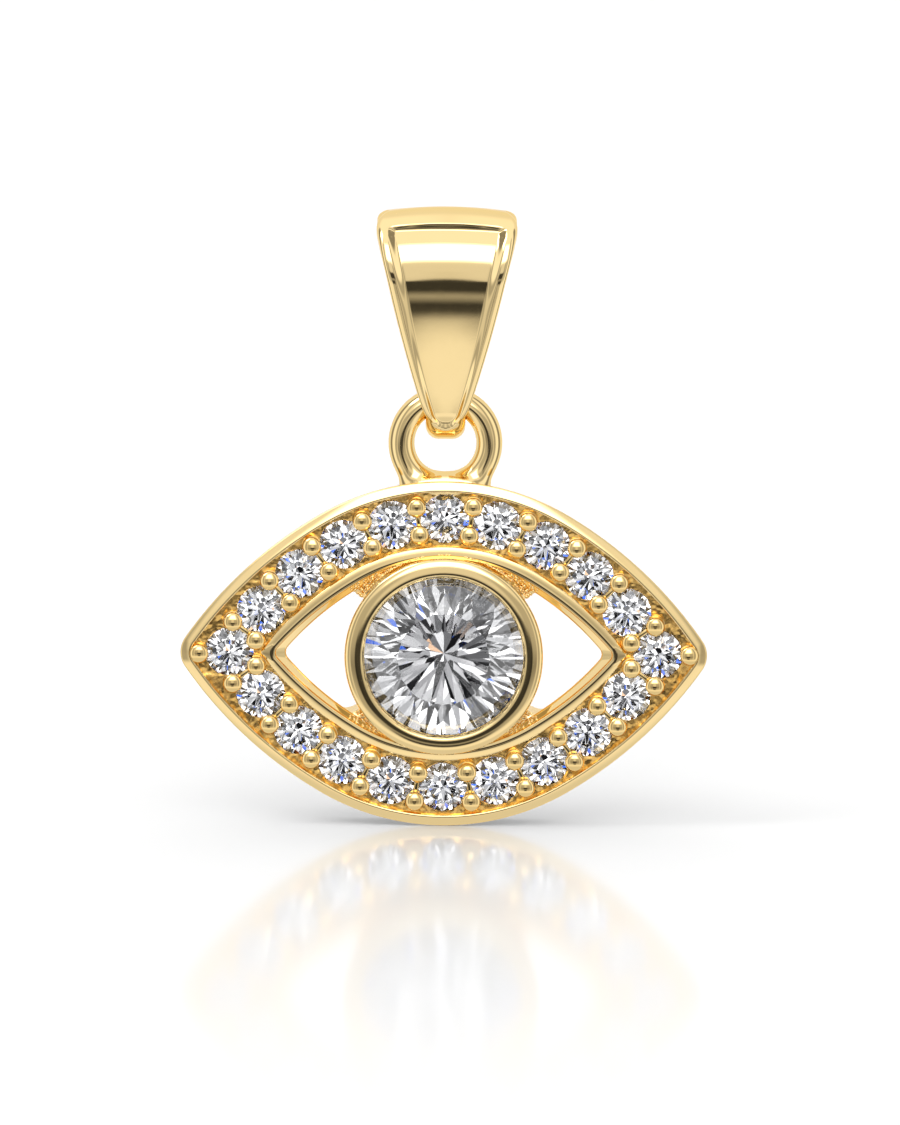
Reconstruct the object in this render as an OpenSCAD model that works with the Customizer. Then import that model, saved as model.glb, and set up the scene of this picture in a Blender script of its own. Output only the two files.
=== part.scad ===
// Evil eye pendant in yellow gold. An eye-shaped frame holds a channel of small round stones,
// and a bezel in its middle holds a large round one. A soldered loop hangs the frame from a
// tapered bail, whose long hole takes the chain.
// Millimetres. The origin is the inside top of the bail, where the chain runs. The front faces
// -Y, the pendant hangs down along -Z, and X runs from tip to tip.

/* [Eye outline] */
// Width of the eye from tip to tip
eye_w = 16.2; // [15.8:0.1:16.8]
// Height of the eye
eye_h = 10.7; // [10.5:0.1:11.1]
// Radius of the arc over the middle of each lid
lid_r = 7.5; // [7.2:0.1:7.8]
// Half of the angle that the middle arc spans
lid_angle = 30.5; // [28:0.5:32]
// Radius of the rounded corner of the eye
tip_r = 0.8; // [0.6:0.05:0.9]
// Thickness of the frame from front to back
frame_t = 1.8; // [1.6:0.1:2.2]

/* [Rims and channel] */
// Width of the outer rim
rim_w = 0.34; // [0.32:0.02:0.4]
// Rounding of the outer rim's edges
rim_round = 0.14; // [0.1:0.01:0.15]
// Depth of the channel floor below the front of the outer rim
channel_depth = 0.35; // [0.3:0.05:0.4]
// How far the back of the channel plate lies inside the back of the rims
back_recess = 0.15; // [0.1:0.05:0.3]
// Distance between the tip of the outer rim and the tip of the inner rim
lid_corner = 2.48; // [2.4:0.04:2.6]
// Rounding of the inner rim's outer corner
inner_tip_r = 0.15; // [0.1:0.05:0.25]
// How far the inner rim's front face runs in under the bezel, over the middle of the eye
bezel_overlap = 0.1; // [0.06:0.02:0.16]
// How far the inner rim's front lies below the front of the outer rim
inner_rim_drop = 0.05; // [0:0.05:0.15]
// Width of the inner rim's front face at the corner of the opening
inner_rim_corner = 0.44; // [0.4:0.02:0.5]
// Width of the step inside the inner rim
step_w = 0.2; // [0.16:0.02:0.24]
// Width of that step at the corner of the opening
step_corner = 0.34; // [0.3:0.02:0.4]
// Depth of that step below the inner rim's front
step_depth = 0.6; // [0.4:0.1:1]
// Rounding of the opening's corner
opening_tip_r = 0.25; // [0.15:0.05:0.3]

/* [Accent stones] */
// Diameter of each accent stone
accent_d = 1.5; // [1.4:0.05:1.55]
// Number of accent stones in a quarter of the eye
accents_per_quarter = 5; // [4:1:5]
// Room between an accent stone and the channel's walls
accent_wall_gap = 0.09; // [0.06:0.01:0.12]
// Room between the corner stone and the inner rim's tip
corner_stone_gap = 0.22; // [0.18:0.02:0.26]
// Diameter of the hole under each accent stone
accent_hole_d = 0.9; // [0.7:0.1:1]
// Turn between one accent stone and the next, about its own axis
accent_turn = 17; // [0:1:45]

/* [Prongs] */
// Diameter of a prong's ball
bead_d = 0.54; // [0.48:0.02:0.56]
// Distance from the row's middle line to each ball of a pair
bead_reach = 0.45; // [0.42:0.01:0.48]
// Distance from the corner stone's middle to the ball in the eye's corner
corner_bead_reach = 0.93; // [0.9:0.01:0.96]
// Height of the ball's middle above the channel floor
bead_rise = 0.26; // [0.24:0.01:0.3]
// Diameter of the stem under the ball
stem_d = 0.44; // [0.36:0.02:0.46]
// Width of the thin web between the two balls of a pair
web_w = 0.16; // [0.12:0.02:0.2]
// Height of the web above the channel floor
web_rise = 0.15; // [0.1:0.05:0.2]

/* [Centre stone and bezel] */
// Diameter of the centre stone
center_d = 5.0; // [4.9:0.05:5.1]
// Distance from the centre stone's edge to the outside of the bezel
bezel_wall = 0.55; // [0.5:0.05:0.6]
// How far the bezel's crest stands in front of the outer rim
bezel_rise = 0.7; // [0.6:0.1:0.9]
// Length of the bezel from its crest to its back
bezel_depth = 2.75; // [2.7:0.05:2.9]
// Height of the rounded part of the bezel's front
bezel_round = 0.22; // [0.18:0.02:0.26]
// How far the bezel's lip reaches over the stone's edge
lip_reach = 0.06; // [0.04:0.01:0.1]
// Height of the lip's inner face above the stone
lip_face = 0.08; // [0.06:0.02:0.14]
// Diameter of the hole behind the centre stone
center_hole_d = 4.2; // [3.8:0.1:4.4]

/* [Cut of the stones] */
// Number of main facets round the centre stone
center_mains = 14; // [8:1:16]
// Number of main facets round a small stone
accent_mains = 8; // [8:1:12]
// Table's diameter in hundredths of the stone's
table_percent = 57; // [54:1:60]
// Slope of the crown in degrees
crown_angle = 34.5; // [32:0.5:36]
// Slope of the pavilion in degrees
pavilion_angle = 40.75; // [40:0.25:41.5]
// Girdle's thickness in hundredths of the stone's diameter
girdle_percent = 3; // [2:0.5:4]
// Reach of the star facets in hundredths of the crown's width
star_percent = 50; // [45:1:55]
// Reach of the lower girdle facets in hundredths of the pavilion's radius
lower_percent = 77; // [72:1:82]

/* [Loop] */
// Diameter of the loop's wire
loop_wire_d = 0.8; // [0.75:0.05:0.85]
// Diameter of the hole in the loop
loop_hole_d = 1.9; // [1.85:0.05:2.2]
// Metal between the loop's hole and the top of the frame
loop_rise = 0.15; // [0.1:0.05:0.3]

/* [Bail] */
// Height of the bail
bail_h = 7.17; // [6.9:0.1:7.6]
// Depth of the bail from front to back
bail_depth = 3.7; // [3.5:0.1:4]
// Thickness of the bail's leaf over the chain
bail_wall = 0.55; // [0.5:0.05:0.6]
// Width of the bail at its top corners
bail_top_w = 4.4; // [4.2:0.1:4.6]
// Width of the bail where its rounded foot begins
bail_foot_w = 1.22; // [1.1:0.04:1.3]
// Outward bow of the bail's long sides
bail_bow = 0.12; // [0.06:0.02:0.16]
// Rise of the bail's curved top edge
bail_crown = 0.14; // [0.08:0.02:0.2]
// Radius of the bail's top corners
bail_corner_r = 0.33; // [0.2:0.01:0.35]
// Thickness of the metal under the loop
foot_wall = 0.8; // [0.7:0.05:0.85]
// Outer radius of the bend under the loop
foot_r = 1.05; // [1:0.05:1.2]
// Width of the raised border beside the front panel
border_w = 0.25; // [0.2:0.01:0.3]
// Width of the raised border above the front panel, seen from the front
border_top = 0.32; // [0.26:0.02:0.4]
// Width of the raised border below the front panel
border_foot = 0.42; // [0.36:0.02:0.5]
// Depth of the front panel below its border
panel_depth = 0.12; // [0.08:0.02:0.16]

/* [Fits] */
// Gap between a stone and the metal that holds it
stone_gap = 0.02; // [0.02:0.005:0.03]
// Gap between the loop's wire and the bail's throat
loop_gap = 0.03; // [0.02:0.01:0.06]

/* [Hidden] */
gold = [0.89, 0.74, 0.42];
crystal = [0.88, 0.92, 0.96];
accent_count = 4 * accents_per_quarter;
function two_digits(i) = str(i < 10 ? "0" : "", i);
function accent_name(i) = str("accent_stone_", two_digits(i));
// Steps of a full turn, of a turn round a wire or ball, of each arc in an outline, of a small
// corner and of the bail's arch
turn_steps = 96;
wire_steps = 32;
arc_steps = 7;
tip_steps = 4;
arch_steps = 24;
// Overlap that makes a cut pass clean through
cut_over = 0.5;

// Heights in the eye's own plane, where Z counts towards the viewer from the middle of the frame
front = frame_t / 2;
floor_z = front - channel_depth;
plate_back = -frame_t / 2 + back_recess;
inner_front = front - inner_rim_drop;

// Heights on the standing pendant
bail_arch_r = bail_depth / 2;
chain_r = bail_arch_r - bail_wall;
arch_z = -chain_r;
bail_top = bail_wall;
bail_bottom = bail_top - bail_h;
throat_r = loop_wire_d / 2 + loop_gap;
// Share of the throat's flare that is cut, so that its edge stays clear of a knife edge
flare_reach = 0.95;
hinge_z = bail_bottom + foot_wall + throat_r;
loop_r = (loop_hole_d + loop_wire_d) / 2;
eye_z = hinge_z - loop_r - loop_hole_d / 2 - loop_rise - eye_h / 2;

// Lens outlines
// An arc is [centre, radius, first angle, last angle]. A lens is kept as three arcs: over the
// middle, along the right flank, and round the right tip. The flank meets both smoothly, and its
// radius is negative where it has to bend the other way to do so.
function lens(half_w, half_h, mid_r, tip) =
    let (
        out = [sin(lid_angle), cos(lid_angle)],
        mid_c = [0, half_h - mid_r],
        joint = mid_c + mid_r * out,
        tip_c = [half_w - tip, 0],
        chord = tip_c - joint,
        flank_r = (chord * chord - tip * tip) / (2 * (-chord * out - tip)),
        flank_c = joint - flank_r * out,
        to_tip = sign(flank_r) * (tip_c - flank_c),
        tip_angle = atan2(to_tip[1], to_tip[0])
    )
    [
        [mid_c, mid_r, 90 - lid_angle, 90 + lid_angle],
        [flank_c, flank_r, tip_angle, 90 - lid_angle],
        [tip_c, tip, -tip_angle, tip_angle]
    ];
// Right half of a lens from its top to its bottom, stepped inwards by inset, and the whole lens
function arc_points(c, r, from, to, steps = arc_steps) =
    [for (i = [0 : steps]) let (a = from + (to - from) * i / steps) c + r * [cos(a), sin(a)]];
function without_first(list) = [for (i = [1 : len(list) - 1]) list[i]];
function quarter_lens(outline, inset) = concat(
    arc_points(outline[0][0], outline[0][1] - inset, 90, outline[0][2]),
    without_first(
        arc_points(outline[1][0], outline[1][1] - inset, outline[1][3], outline[1][2])
    ),
    outline[2][1] > inset
        ? without_first(arc_points(outline[2][0], outline[2][1] - inset, outline[2][3], 0, tip_steps))
        : []
);
function lens_points(outline, inset = 0) =
    let (q = quarter_lens(outline, inset), n = len(q))
    concat(
        q,
        [for (i = [n - 2 : -1 : 0]) [q[i][0], -q[i][1]]],
        [for (i = [1 : n - 1]) [-q[i][0], -q[i][1]]],
        [for (i = [n - 2 : -1 : 1]) [-q[i][0], q[i][1]]]
    );

channel_w = accent_d + 2 * accent_wall_gap;
bezel_r = center_d / 2 + bezel_wall;
inner_in = rim_w + channel_w;
row_in = rim_w + channel_w / 2;
inner_half_w = eye_w / 2 - lid_corner;
row_half_w = inner_half_w + corner_stone_gap + accent_d / 2;

face_half_w = inner_half_w - inner_rim_corner;
opening_half_w = face_half_w - step_corner;
// The lenses' middle arcs share one centre, this far above the middle of the eye
lid_c = eye_h / 2 - lid_r;
function lid_lens(half_w, half_h, tip) = lens(half_w, half_h, half_h - lid_c, tip);
face_half_h = bezel_r - bezel_overlap;
outer_lens = lid_lens(eye_w / 2, eye_h / 2, tip_r);
inner_lens = lid_lens(inner_half_w, eye_h / 2 - inner_in, inner_tip_r);
face_lens = lid_lens(face_half_w, face_half_h, opening_tip_r);
opening_lens = lid_lens(opening_half_w, face_half_h - step_w, opening_tip_r);
row_lens = lid_lens(row_half_w, eye_h / 2 - row_in, 0);

// The row of accent stones
// Distance along the row is counted clockwise from the left tip, as seen from the front.
function arc_length(arc) = arc[1] * (arc[3] - arc[2]) * PI / 180;
row_flank = arc_length(row_lens[1]);
row_quarter = row_flank + arc_length(row_lens[0]) / 2;
row_pitch = row_quarter / accents_per_quarter;
function row_angle(s) = s <= row_flank
    ? row_lens[1][2] + s / row_lens[1][1] * 180 / PI
    : row_lens[0][2] + (s - row_flank) / row_lens[0][1] * 180 / PI;
function row_arc(s) = s <= row_flank ? row_lens[1] : row_lens[0];
// A distance folded into one quarter, with the signs that unfold it again
function folded(s) =
    let (
        low = s > 2 * row_quarter,
        t = low ? 4 * row_quarter - s : s,
        right = t > row_quarter
    )
    [right ? 2 * row_quarter - t : t, right ? 1 : -1, low ? -1 : 1];
function row_normal(s) =
    let (f = folded(s), a = row_angle(f[0])) [f[1] * cos(a), f[2] * sin(a)];
function row_point(s, out = 0) =
    let (f = folded(s), arc = row_arc(f[0]), a = row_angle(f[0]))
    [
        f[1] * (arc[0][0] + (arc[1] + out) * cos(a)),
        f[2] * (arc[0][1] + (arc[1] + out) * sin(a))
    ];

// Round brilliant cut, with its girdle's middle at height 0 and its table up
girdle_of = function(d) d * girdle_percent / 100;
table_r_of = function(d) d * table_percent / 200;
crown_of = function(d) (d / 2 - table_r_of(d)) * tan(crown_angle);
pavilion_of = function(d) d / 2 * tan(pavilion_angle);
accent_girdle = girdle_of(accent_d);
// How deep a prong's stem is rooted in the plate
stem_root = (floor_z - plate_back) / 2;
// The accent stones' girdles lie with their lower edge on the channel floor
accent_z = floor_z + accent_girdle / 2 + stone_gap;
lip_r = center_d / 2 - lip_reach;
bezel_crest = front + bezel_rise;
bezel_back = bezel_crest - bezel_depth;
lip_under = lip_reach * tan(crown_angle) + stone_gap;
center_z = bezel_crest - bezel_round - lip_face - lip_under - girdle_of(center_d) / 2;

function polar(r, a, z) = [r * cos(a), r * sin(a), z];

module brilliant(d, mains) {
    r = d / 2;
    half_girdle = girdle_of(d) / 2;
    table_r = table_r_of(d);
    table_z = half_girdle + crown_of(d);
    culet_z = -half_girdle - pavilion_of(d);
    half_step = 180 / mains;
    star_in = table_r * cos(half_step);
    star_r = star_in + (r - star_in) * star_percent / 100;
    star_z = half_girdle + (r - star_r * cos(half_step)) * tan(crown_angle);
    lower_r = r * (1 - lower_percent / 100);
    lower_z = culet_z + lower_r * cos(half_step) * tan(pavilion_angle);
    around = mains * 2;
    each_main = [0 : mains - 1];
    each_half = [0 : around - 1];
    points = concat(
        [for (k = each_main) polar(table_r, 2 * half_step * k, table_z)],
        [for (k = each_main) polar(star_r, half_step * (2 * k + 1), star_z)],
        [for (k = each_half) polar(r, half_step * k, half_girdle)],
        [for (k = each_half) polar(r, half_step * k, -half_girdle)],
        [for (k = each_main) polar(lower_r, half_step * (2 * k + 1), lower_z)],
        [[0, 0, culet_z]]
    );
    star = mains;
    upper = star + mains;
    under = upper + around;
    lower = under + around;
    culet = lower + mains;
    faces = concat(
        [[for (k = each_main) mains - 1 - k]],
        [for (k = each_main) [k, (k + 1) % mains, star + k]],
        [for (k = each_main) [k, star + k, upper + 2 * k, star + (k + mains - 1) % mains]],
        [for (k = each_main) [star + k, upper + 2 * k + 1, upper + 2 * k]],
        [for (k = each_main) [star + k, upper + (2 * k + 2) % around, upper + 2 * k + 1]],
        [for (k = each_half)
            [upper + k, upper + (k + 1) % around, under + (k + 1) % around, under + k]],
        [for (k = each_main) [under + 2 * k, under + 2 * k + 1, lower + k]],
        [for (k = each_main) [under + 2 * k + 1, under + (2 * k + 2) % around, lower + k]],
        [for (k = each_main) [under + 2 * k, lower + k, culet, lower + (k + mains - 1) % mains]]
    );
    polyhedron(points, faces, convexity = 2);
}

// The room that a stone and the hole behind it take out of the metal
module stone_seat(d, hole_d, back) {
    r = d / 2 + stone_gap;
    hole_r = hole_d / 2;
    half_girdle = girdle_of(d) / 2;
    rotate_extrude($fn = turn_steps) polygon([
        [0, half_girdle + crown_of(d) + stone_gap],
        [table_r_of(d) + stone_gap, half_girdle + crown_of(d) + stone_gap],
        [r, half_girdle + stone_gap],
        [r, -half_girdle - stone_gap],
        [hole_r, -half_girdle - stone_gap - (r - hole_r) * tan(pavilion_angle)],
        [hole_r, back],
        [0, back]
    ]);
}

// A block with a lens outline, stepped inwards by inset
module lens_block(outline, low, high, inset = 0)
    translate([0, 0, low]) linear_extrude(high - low) polygon(lens_points(outline, inset));

// A band that runs round inside a lens outline, from one inward step to another
module lens_band(outline, step_out, step_in, low, high)
    translate([0, 0, low]) linear_extrude(high - low) difference() {
        polygon(lens_points(outline, step_out));
        polygon(lens_points(outline, step_in));
    }

function rounded_end(x, z, half, rise, from, to) =
    [for (i = [0 : arc_steps]) let (a = from + (to - from) * i / arc_steps)
        [x + half * cos(a), z + rise * sin(a)]];

// The rim's edges are stepped back where the real ones are rounded
module outer_rim() {
    lens_band(outer_lens, 0, rim_w, -front + rim_round, front - rim_round);
    lens_band(outer_lens, rim_round / 2, rim_w - rim_round / 2, -front, front);
}

// A ball on a short stem, which is rooted in the plate
module prong(point) translate([point[0], point[1], floor_z]) {
    translate([0, 0, bead_rise]) sphere(d = bead_d, $fn = wire_steps);
    translate([0, 0, -stem_root]) cylinder(d = stem_d, h = stem_root + bead_rise, $fn = wire_steps);
}

module prongs() {
    for (i = [1 : accent_count]) {
        s = (i - 0.5) * row_pitch;
        a = row_normal(s);
        middle = row_point(s);
        prong(row_point(s, bead_reach));
        prong(row_point(s, -bead_reach));
        translate([middle[0], middle[1], floor_z]) rotate(atan2(a[1], a[0]))
            cube([2 * bead_reach, web_w, 2 * web_rise], center = true);
    }
    for (side = [-1, 1]) prong([side * (row_half_w + corner_bead_reach), 0]);
}

module bezel_body() {
    half = (bezel_r - lip_r) / 2;
    rotate_extrude($fn = turn_steps) polygon(concat(
        [[center_hole_d / 2, bezel_back], [bezel_r, bezel_back]],
        rounded_end(lip_r + half, bezel_crest - bezel_round, half, bezel_round, 0, 180),
        [[lip_r, center_z], [center_hole_d / 2, center_z]]
    ));
}

module loop_ring() {
    translate([0, hinge_z - loop_r - eye_z]) rotate_extrude($fn = turn_steps)
        translate([loop_r, 0]) circle(d = loop_wire_d, $fn = wire_steps);
}

module metal_blank() {
    difference() {
        union() {
            lens_block(outer_lens, plate_back, floor_z, rim_w / 2);
            lens_block(inner_lens, -front, inner_front);
        }
        lens_block(opening_lens, -front - cut_over, front + cut_over);
        lens_block(face_lens, inner_front - step_depth, front + cut_over);
    }
    outer_rim();
    bezel_body();
    loop_ring();
    prongs();
}

module stand_up() translate([0, 0, eye_z]) rotate([90, 0, 0]) children();

module eye_frame() color(gold) stand_up() difference() {
    metal_blank();
    for (i = [1 : accent_count]) translate(row_point((i - 1) * row_pitch)) translate([0, 0, accent_z])
        stone_seat(accent_d, accent_hole_d, -front - cut_over - accent_z);
    translate([0, 0, center_z])
        stone_seat(center_d, center_hole_d, bezel_back - cut_over - center_z);
}

module center_stone() color(crystal) stand_up()
    translate([0, 0, center_z]) brilliant(center_d, center_mains);

module accent_stone(i) color(crystal) stand_up()
    translate(row_point((i - 1) * row_pitch)) translate([0, 0, accent_z])
        rotate(accent_turn * i) brilliant(accent_d, accent_mains);

// Side profile of the bail: two circles and the straight leaves that touch both
function touch_angle(upper_r, lower_r, lower_z) = asin((upper_r - lower_r) / (arch_z - lower_z));
module drop_profile(upper_r, lower_r, lower_z) {
    lean = touch_angle(upper_r, lower_r, lower_z);
    polygon(concat(
        arc_points([0, arch_z], upper_r, -lean, 180 + lean, arch_steps),
        arc_points([0, lower_z], lower_r, 180 + lean, 360 - lean, arch_steps)
    ));
}
// Stands the profile across the pendant, so that its first axis becomes Y
module across(width) rotate([90, 0, 90]) linear_extrude(width, center = true) children();

// Front outline of the bail, with arcs for its sides, top, corners and foot
side_drop = bail_h - bail_crown - bail_foot_w / 2;
side_lean = (bail_top_w - bail_foot_w) / 2;
side_chord = norm([side_lean, side_drop]);
side_r = side_chord * side_chord / (8 * bail_bow) + bail_bow / 2;
side_middle = [(bail_top_w + bail_foot_w) / 4, bail_bottom + bail_foot_w / 2 + side_drop / 2];
side_c = side_middle
    - (side_r - bail_bow) * [side_drop, -side_lean] / side_chord;
crown_r = bail_top_w * bail_top_w / (8 * bail_crown) + bail_crown / 2;
crown_c = [0, bail_top - crown_r];
// The upper of the two points that lie at given distances from two centres
function meeting(c1, r1, c2, r2) =
    let (
        v = c2 - c1,
        d = norm(v),
        along_v = (r1 * r1 - r2 * r2 + d * d) / (2 * d),
        off = sqrt(r1 * r1 - along_v * along_v),
        u = v / d
    )
    c1 + along_v * u + off * [-u[1], u[0]];
function angle_of(v) = atan2(v[1], v[0]);
// Right half of the outline from the top's middle to the foot, inset from the bail's edge
function half_outline(inset, top_inset, foot_z, corner_r) =
    let (
        round_side = side_r - inset,
        round_top = crown_r - top_inset,
        corner = meeting(side_c, round_side - corner_r, crown_c, round_top - corner_r),
        top_angle = angle_of(corner - crown_c),
        corner_end = angle_of(corner - side_c),
        reach = side_c[1] - foot_z,
        foot = (round_side * round_side - side_c[0] * side_c[0] - reach * reach)
            / (2 * (round_side - reach)),
        foot_c = [0, foot_z + foot],
        foot_angle = angle_of(foot_c - side_c)
    )
    concat(
        arc_points(crown_c, round_top, 90, top_angle),
        arc_points(corner, corner_r, top_angle, corner_end),
        arc_points(side_c, round_side, corner_end, foot_angle),
        arc_points(foot_c, foot, foot_angle, -90)
    );
function whole_outline(half) = concat(
    half,
    [for (i = [len(half) - 2 : -1 : 1]) [-half[i][0], half[i][1]]]
);
module bail_plan(inset, top_inset, foot_z, corner_r)
    polygon(whole_outline(half_outline(inset, top_inset, foot_z, corner_r)));

// Rounded throat for the loop: a spool shape whose waist clears the loop's wire as it swings
module throat() {
    flare_r = loop_hole_d / 2 - loop_gap;
    half_length = flare_reach * flare_r;
    translate([0, 0, hinge_z]) rotate([0, 90, 0]) rotate_extrude($fn = turn_steps) difference() {
        translate([0, -half_length]) square([throat_r + flare_r, 2 * half_length]);
        translate([throat_r + flare_r, 0]) circle(r = flare_r, $fn = turn_steps);
    }
}

module bail() color(gold) difference() {
    foot_z = bail_bottom + foot_r;
    intersection() {
        across(2 * bail_top_w) drop_profile(bail_arch_r, foot_r, foot_z);
        rotate([90, 0, 0]) linear_extrude(2 * bail_depth, center = true)
            bail_plan(0, 0, bail_bottom, bail_corner_r);
    }
    across(2 * bail_top_w) drop_profile(chain_r, throat_r - loop_gap, hinge_z);
    throat();
    difference() {
        rotate([90, 0, 0]) linear_extrude(bail_depth)
            bail_plan(border_w, border_top, bail_bottom + border_foot, bail_corner_r / 2);
        across(2 * bail_top_w)
            drop_profile(bail_arch_r - panel_depth, foot_r - panel_depth, foot_z);
    }
}

bail();
eye_frame();
center_stone();
for (i = [1 : accent_count])
    accent_stone(i);
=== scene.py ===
import math
import random

import bmesh
import bpy
from mathutils import Matrix, Vector


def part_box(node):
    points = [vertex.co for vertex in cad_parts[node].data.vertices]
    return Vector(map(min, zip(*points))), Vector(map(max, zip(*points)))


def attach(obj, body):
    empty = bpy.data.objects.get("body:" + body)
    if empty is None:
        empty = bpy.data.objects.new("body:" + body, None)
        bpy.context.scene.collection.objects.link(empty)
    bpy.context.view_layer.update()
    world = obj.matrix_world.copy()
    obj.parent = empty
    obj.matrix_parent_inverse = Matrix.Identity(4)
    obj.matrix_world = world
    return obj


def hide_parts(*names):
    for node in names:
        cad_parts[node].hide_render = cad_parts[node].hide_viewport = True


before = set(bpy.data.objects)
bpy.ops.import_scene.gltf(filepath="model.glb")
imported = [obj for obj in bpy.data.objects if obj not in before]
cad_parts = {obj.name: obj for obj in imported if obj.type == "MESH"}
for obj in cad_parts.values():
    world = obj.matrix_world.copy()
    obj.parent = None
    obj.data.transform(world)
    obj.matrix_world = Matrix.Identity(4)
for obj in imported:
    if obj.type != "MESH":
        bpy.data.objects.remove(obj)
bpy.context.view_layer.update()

# Lengths below are in millimetres, and MM turns them into metres.
MM = 0.001

# Framing of the picture
PICTURE_H = 1125
PIXELS_PER_MM = 32.5
CAMERA_ELEVATION = math.radians(8.0)
CAMERA_ROLL = math.radians(0.45)
CAMERA_DISTANCE = 350.0
AIM = Vector((0.17, 0.0, -10.46))

# Outline of the eye
EYE_W = 16.2
EYE_H = 10.7
LID_R = 7.5
LID_ANGLE = math.radians(30.5)
TIP_R = 0.8
FRAME_T = 1.8

# Rims and channel
RIM_W = 0.34
RIM_FALL = 0.12
RIM_CREST_W = 0.05
RIM_LIP_FALL = 0.03
CHANNEL_W = 1.68
CHANNEL_DEPTH = 0.35
BACK_RECESS = 0.15
PLATE_DRAFT = 0.05
LID_CORNER = 2.48
INNER_TIP_R = 0.15
INNER_RIM_W = 0.38
INNER_RIM_CORNER = 0.44
INNER_RIM_DROP = 0.05
FACE_FALL = 0.05
INNER_LIP_W = 0.13
INNER_LIP_FALL = 0.013
STEP_W = 0.2
STEP_CORNER = 0.34
LEDGE_TOP = 0.11
LEDGE_FOOT = 0.19
DRAFT = 0.2
OPENING_TIP_R = 0.25

# Rounding of the rims' edges
BACK_EDGE = 0.06
INNER_BACK_EDGE = 0.08
SHOULDER_EDGE = 0.05
CREST_EDGE = 0.04
LIP_EDGE = 0.03
LEDGE_EDGE = 0.07

# Small stones and their prongs
ACCENT_D = 1.5
ACCENT_COUNT = 20
CORNER_STONE_GAP = 0.22
ACCENT_HOLE_D = 0.9
BEAD_R = 0.295
BEAD_REACH = 0.45
CORNER_BEAD_REACH = 0.93
BEAD_WIDEST = 0.33
BEAD_DOME = 0.16
BEAD_DROP = 0.45
BEAD_TILT = math.radians(8)
BEAD_STEPS = 20
COLLAR_R = 0.305
COLLAR_H = 0.07
WEB_W = 0.14
WEB_RISE = 0.15

# Centre stone and bezel
CENTER_D = 5.0
BEZEL_WALL = 0.55
BEZEL_RISE = 0.7
BEZEL_DEPTH = 2.75
BEZEL_ROUND = 0.22
BEZEL_TAPER = 0.3
LIP_REACH = 0.06
CREST_IN = 0.13
CREST_FULLNESS = 0.85
LIP_FACE = 0.08
BEZEL_BACK_EDGE = 0.08
CENTER_HOLE_D = 4.2
STONE_GAP = 0.02
CROWN_SLOPE = math.tan(math.radians(34.5))
PAVILION_SLOPE = math.tan(math.radians(40.75))
GIRDLE_SHARE = 0.03
TABLE_SHARE = 0.57
STONE_IOR = 2.3
STONE_ROUGHNESS = 0.01

# Loop
LOOP_WIRE_R = 0.4
LOOP_R = 1.35
LOOP_GAP = 0.03
FOOT_FLARE = 0.2
FOOT_FLARE_H = 0.13

# Bail
BAIL_H = 7.17
BAIL_WALL = 0.55
BAIL_ARCH_R = 1.85
BAIL_TOP_W = 4.4
BAIL_FOOT_W = 1.22
BAIL_BOW = 0.12
BAIL_CROWN = 0.14
BAIL_EDGE = 0.16
BAIL_FOOT_EDGE = 0.4
BAIL_INNER_EDGE = 0.06
FOOT_R = 1.05
FOOT_WALL = 0.8
FLARE_LEAST = 0.05
BORDER_W = 0.2
BORDER_TOP = 1.2
BORDER_FOOT = 0.38
COVE_W = 0.15
BORDER_HEAD_W = 0.24
COVE_HEAD_W = 0.33
HEAD_WALL_W = 0.15
HEAD_BEND = 0.06
DISH = 0.06
BAND_BEND = 0.14
BAIL_CORNER_R = 0.33
PANEL_HEAD_Z = -1.0
PANEL_FOOT_Z = -6.0

# Depth of the panel below its border at heights on the bail, and how fast it changes there
PANEL_DEPTHS = (
    (-6.1, 0.09, 0.0),
    (-2.8, 0.025, 0.0),
    (-2.445, 0.03, 0.03),
    (-2.04, 0.054, 0.09),
    (-1.637, 0.102, 0.15),
    (-1.49, 0.121, 0.11),
    (-1.29, 0.135, 0.02),
    (0.4, 0.125, 0.0),
)

# Solder in the corners between the bezel and the inner rim, and the grains on it
CORNER_END = math.radians(59)
CORNER_HOLLOW = math.radians(3.2)
CORNER_DROP = 0.2
CORNER_SAG = 0.05
END_SAG = 0.1
END_ROWS = 4
BEZEL_TUCK = 0.02
BEZEL_REACH = 0.05
WALL_TUCK = 0.03
SOLDER_BACK = 0.04
SOLDER_ROWS = 44
SOLDER_COLUMNS = 12
GRAIN_COUNT = 90
GRAIN_START = math.radians(28)
GRAIN_SIZES = (0.025, 0.05)
GRAIN_STRETCH = (0.9, 1.8)
GRAIN_WALL = 0.16
GRAIN_RISE = 0.08
GRAIN_FLATNESS = 0.8
GRAIN_TURN = 0.5
SEAM_COUNT = 46
SEAM_START = 0.02
SEAM_SIZES = (0.018, 0.03)
SEAM_STRETCH = (1.2, 3)
SEAM_HEIGHTS = (-0.03, 0.02)
SEAM_OUT = 0.03

# Floor, in metres but for its gap
FLOOR_GAP = 0.01
FLOOR_R = 0.9
FLOOR_TONE = 0.86
MIRROR_SHARE = 0.34
MIRROR_REACH = 0.085
MIRROR_ROUGHNESS = 0.1

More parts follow.
